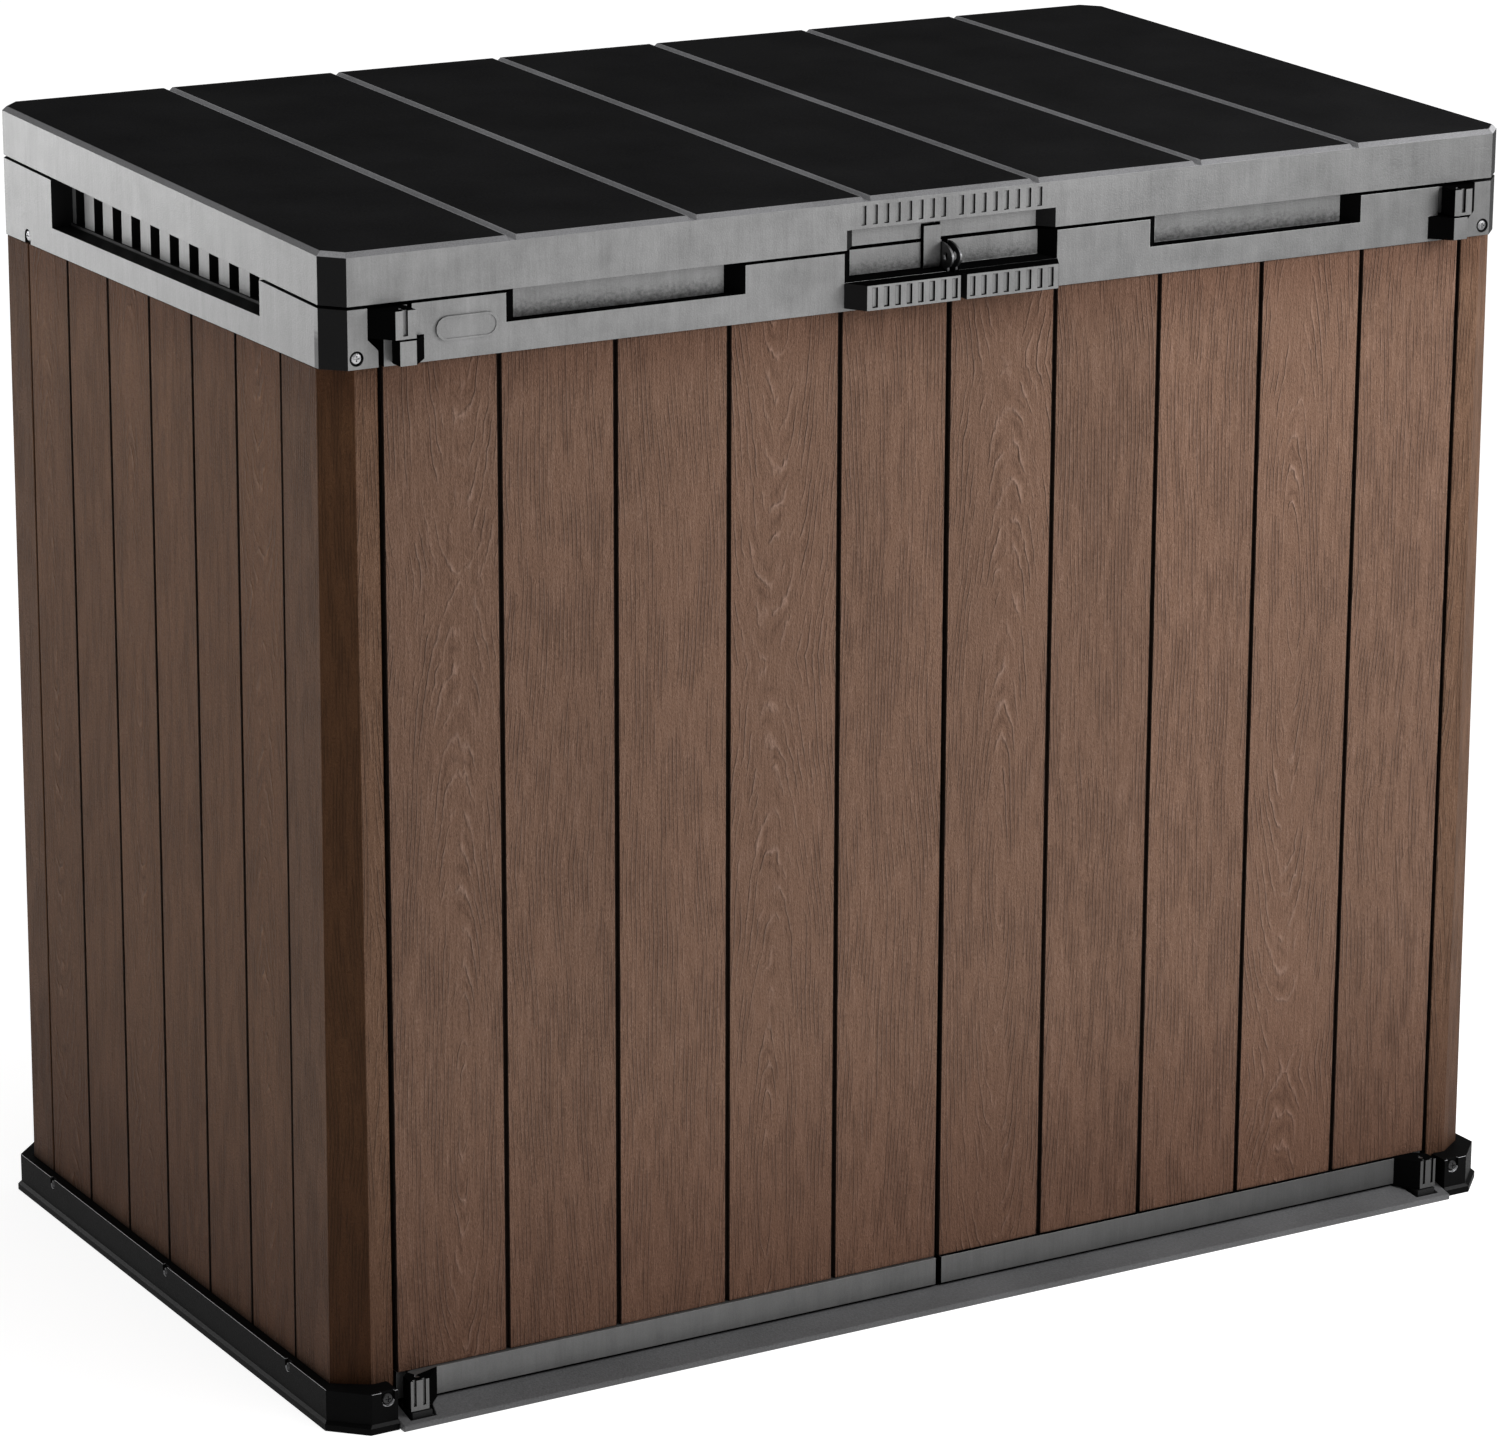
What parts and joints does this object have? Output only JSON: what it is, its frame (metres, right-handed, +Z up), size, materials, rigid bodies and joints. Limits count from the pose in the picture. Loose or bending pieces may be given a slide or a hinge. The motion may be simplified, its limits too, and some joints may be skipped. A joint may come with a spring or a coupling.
{
  "type": "deck storage box",
  "caption": "Planked resin deck storage box: floor tray with ramp, wood-look walls, grey top frame with side vents, sloping hinged lid and two hinged front doors with grip recesses.",
  "frame": {"origin": "on the ground under the middle of the box's overall footprint", "axes": "+X to the right of someone facing the doors, -Y out of the front (the doors' side), +Z up"},
  "size_m": [1.426, 0.8572, 1.2123],
  "materials": {
    "frame_grey": "light grey resin with a weathered, streaked sheet-metal look",
    "plank_black": "smooth satin black resin",
    "wood_brown": "brown resin with embossed wood grain",
    "tray_black": "fine-textured black resin",
    "trim_black": "black resin",
    "steel": "zinc-plated steel"
  },
  "bodies": {
    "cabinet": {"floor_tray": "tray_black", "door_ramp": "tray_black", "top_frame_back": "frame_grey", "side_wall_left": "wood_brown", "front_post_left": "wood_brown", "rear_post_left": "wood_brown", "back_panel_left": "wood_brown", "top_frame_left": "frame_grey", "corner_hinge_left": "frame_grey", "hinge_support_left": "trim_black", "lid_hinge_base_left": "trim_black", "lid_hinge_pin_left": "steel", "door_pin_top_left": "steel", "door_pin_foot_left": "steel", "frame_screw_front_left": "steel", "frame_screw_side_left": "steel", "tray_screw_front_left": "steel", "tray_screw_left_1": "steel", "tray_screw_left_2": "steel", "tray_screw_left_3": "steel", "side_wall_right": "wood_brown", "front_post_right": "wood_brown", "rear_post_right": "wood_brown", "back_panel_right": "wood_brown", "top_frame_right": "frame_grey", "corner_hinge_right": "frame_grey", "hinge_support_right": "trim_black", "lid_hinge_base_right": "trim_black", "lid_hinge_pin_right": "steel", "door_pin_top_right": "steel", "door_pin_foot_right": "steel", "frame_screw_front_right": "steel", "frame_screw_side_right": "steel", "tray_screw_front_right": "steel", "tray_screw_right_1": "steel", "tray_screw_right_2": "steel", "tray_screw_right_3": "steel"},
    "lid": {"lid_shell": "frame_grey", "lid_hinge_leaf_left": "trim_black", "lid_hinge_leaf_right": "trim_black", "lid_plank_1": "plank_black", "lid_plank_2": "plank_black", "lid_plank_3": "plank_black", "lid_plank_4": "plank_black", "lid_plank_5": "plank_black", "lid_plank_6": "plank_black", "lid_plank_7": "plank_black"},
    "door_left": {"door_panel_left": "wood_brown", "door_top_rail_left": "frame_grey", "door_foot_rail_left": "frame_grey", "door_handle_left": "frame_grey", "padlock_eye_left": "steel", "latch_pin": "steel", "badge": "frame_grey"},
    "door_right": {"door_panel_right": "wood_brown", "door_top_rail_right": "frame_grey", "door_foot_rail_right": "frame_grey", "door_handle_right": "frame_grey", "padlock_eye_right": "steel"},
    "latch": {"latch_tab": "frame_grey"}
  },
  "joints": [
    {"name": "lid_hinge", "type": "hinge", "parent": "cabinet", "child": "lid", "pos_m": [0, 0.4191, 1.1595], "axis": [-1, 0, 0], "range_deg": [0, 95]},
    {"name": "door_left_hinge", "type": "hinge", "parent": "cabinet", "child": "door_left", "pos_m": [-0.621, -0.407, 0.5], "axis": [0, 0, -1], "range_deg": [0, 160]},
    {"name": "door_right_hinge", "type": "hinge", "parent": "cabinet", "child": "door_right", "pos_m": [0.621, -0.407, 0.5], "axis": [0, 0, 1], "range_deg": [0, 160]},
    {"name": "latch_tilt", "type": "hinge", "parent": "door_left", "child": "latch", "pos_m": [-0.0167, -0.3777, 1.1097], "axis": [1, 0, 0], "range_deg": [0, 20]}
  ]
}
